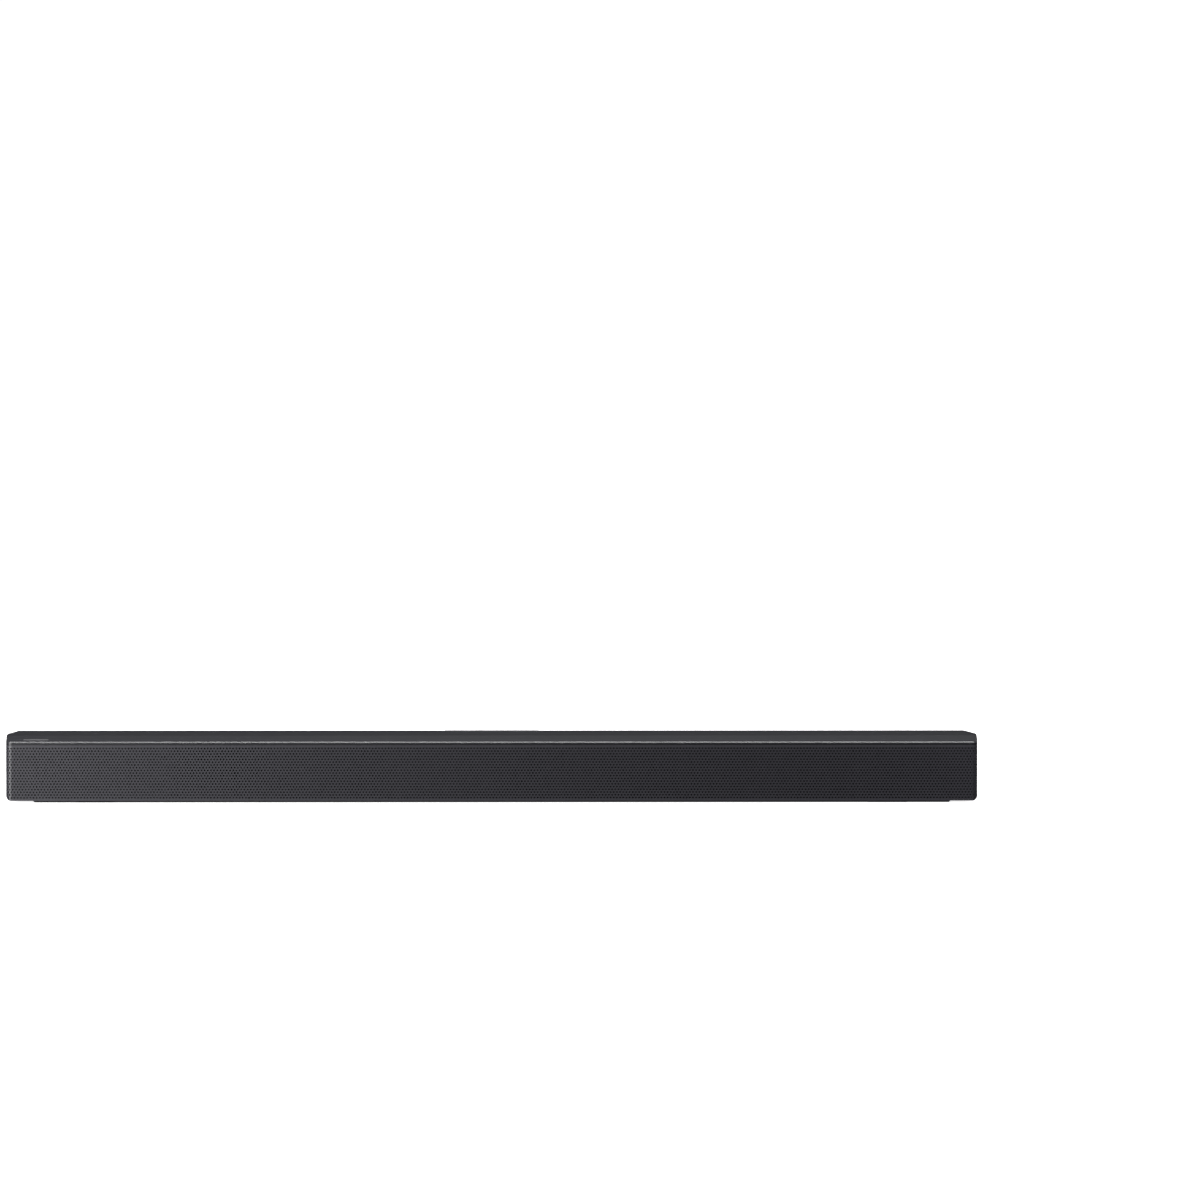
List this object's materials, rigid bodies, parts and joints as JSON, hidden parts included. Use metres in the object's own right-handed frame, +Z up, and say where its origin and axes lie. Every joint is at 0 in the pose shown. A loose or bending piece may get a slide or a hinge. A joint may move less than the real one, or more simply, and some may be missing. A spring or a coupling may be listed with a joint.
{
  "type": "soundbar",
  "caption": "Slim free-standing soundbar: wrapped perforated grille, sloped moulded cover with a strip of push buttons, drivers and amplifier inside, connector bay at the rear.",
  "frame": {"origin": "on the standing surface, under the middle of the bar's length and depth", "axes": "+X to the right seen from the front, -Y the way the grille faces, +Z up"},
  "size_m": [0.858, 0.075, 0.0586],
  "materials": {
    "case_plastic": "fine moulded texture, satin black",
    "cover_plastic": "fine moulded texture, satin charcoal",
    "mesh_metal": "satin dark grey powder coat over perforated steel",
    "cloth": "matt black",
    "strip_plastic": "satin dark grey",
    "button_plastic": "satin black",
    "inlay_metal": "satin",
    "rubber_pad": "matt",
    "cone_paper": "matt treated paper, as plastic",
    "surround_rubber": "satin",
    "spider_fabric": "matt",
    "coil_copper": "enamelled copper wire, as brass",
    "motor_steel": "zinc plated",
    "magnet_ferrite": "matt ferrite",
    "dome_silk": "coated silk",
    "screw_steel": "black zinc",
    "insert_brass": "turned",
    "board_green": "solder mask",
    "chip_black": "matt",
    "socket_plastic": "satin",
    "socket_steel": "tin plated",
    "sink_aluminium": "extruded",
    "can_aluminium": "sleeved can",
    "lamp_clear": "clear lens",
    "wire_black": "matt sleeve"
  },
  "bodies": {
    "bar": {"base_plinth": "case_plastic", "board_chips": "chip_black", "bottom_case": "case_plastic", "button_board": "board_green", "capacitors": "can_aluminium", "case_screws": "screw_steel", "connector_bay": "case_plastic", "control_strip": "strip_plastic", "dc_jack": "socket_plastic", "driver_screws": "screw_steel", "dust_cloth": "cloth", "electronics_screws": "screw_steel", "foot_front_left": "rubber_pad", "foot_front_right": "rubber_pad", "foot_rear_left": "rubber_pad", "foot_rear_right": "rubber_pad", "front_baffle": "case_plastic", "grille_frame": "case_plastic", "grille_mesh": "mesh_metal", "hdmi_jack": "socket_steel", "heat_sink": "sink_aluminium", "infrared_receiver": "chip_black", "internal_wiring": "wire_black", "main_board": "board_green", "optical_jack": "socket_plastic", "sensor_board": "board_green", "status_lamps": "lamp_clear", "tact_switches": "chip_black", "top_cover": "cover_plastic", "top_inlay": "inlay_metal", "tweeter_dome_left": "dome_silk", "tweeter_dome_right": "dome_silk", "tweeter_motor_left": "motor_steel", "tweeter_motor_right": "motor_steel", "tweeter_plate_left": "case_plastic", "tweeter_plate_right": "case_plastic", "usb_jack": "socket_steel", "wall_mount_inserts": "insert_brass", "wireless_module": "socket_steel", "woofer_basket_left": "case_plastic", "woofer_basket_right": "case_plastic", "woofer_magnet_left": "magnet_ferrite", "woofer_magnet_right": "magnet_ferrite", "woofer_plates_left": "motor_steel", "woofer_plates_right": "motor_steel", "woofer_spider_left": "spider_fabric", "woofer_spider_right": "spider_fabric", "woofer_surround_left": "surround_rubber", "woofer_surround_right": "surround_rubber"},
    "button_source": {"button_source": "button_plastic"},
    "button_volume_down": {"button_volume_down": "button_plastic"},
    "button_volume_up": {"button_volume_up": "button_plastic"},
    "button_power": {"button_power": "button_plastic"},
    "woofer_cone_left": {"woofer_cone_left": "cone_paper", "woofer_dust_cap_left": "cone_paper", "woofer_coil_left": "coil_copper"},
    "woofer_cone_right": {"woofer_cone_right": "cone_paper", "woofer_dust_cap_right": "cone_paper", "woofer_coil_right": "coil_copper"},
    "optical_shutter": {"optical_shutter": "socket_plastic"}
  },
  "joints": [
    {"name": "button_source_press", "type": "slide", "parent": "bar", "child": "button_source", "axis": [0, 0, -1], "range_m": [0, 0.0005], "stiffness_N_per_m": 3000, "springref_m": -0.0003},
    {"name": "button_volume_down_press", "type": "slide", "parent": "bar", "child": "button_volume_down", "axis": [0, 0, -1], "range_m": [0, 0.0005], "stiffness_N_per_m": 3000, "springref_m": -0.0003},
    {"name": "button_volume_up_press", "type": "slide", "parent": "bar", "child": "button_volume_up", "axis": [0, 0, -1], "range_m": [0, 0.0005], "stiffness_N_per_m": 3000, "springref_m": -0.0003},
    {"name": "button_power_press", "type": "slide", "parent": "bar", "child": "button_power", "axis": [0, 0, -1], "range_m": [0, 0.0005], "stiffness_N_per_m": 3000, "springref_m": -0.0003},
    {"name": "woofer_left_excursion", "type": "slide", "parent": "bar", "child": "woofer_cone_left", "axis": [0, -1, 0], "range_m": [-0.0025, 0.0025], "stiffness_N_per_m": 1500, "deforming": ["woofer_surround_left", "woofer_spider_left"]},
    {"name": "woofer_right_excursion", "type": "slide", "parent": "bar", "child": "woofer_cone_right", "axis": [0, -1, 0], "range_m": [-0.0025, 0.0025], "stiffness_N_per_m": 1500, "deforming": ["woofer_surround_right", "woofer_spider_right"]},
    {"name": "optical_shutter_swing", "type": "hinge", "parent": "bar", "child": "optical_shutter", "pos_m": [-0.012, 0.015, 0.0283], "axis": [-1, 0, 0], "range_deg": [0, 80], "stiffness_Nm_per_rad": 0.002, "springref_deg": -17.19}
  ]
}
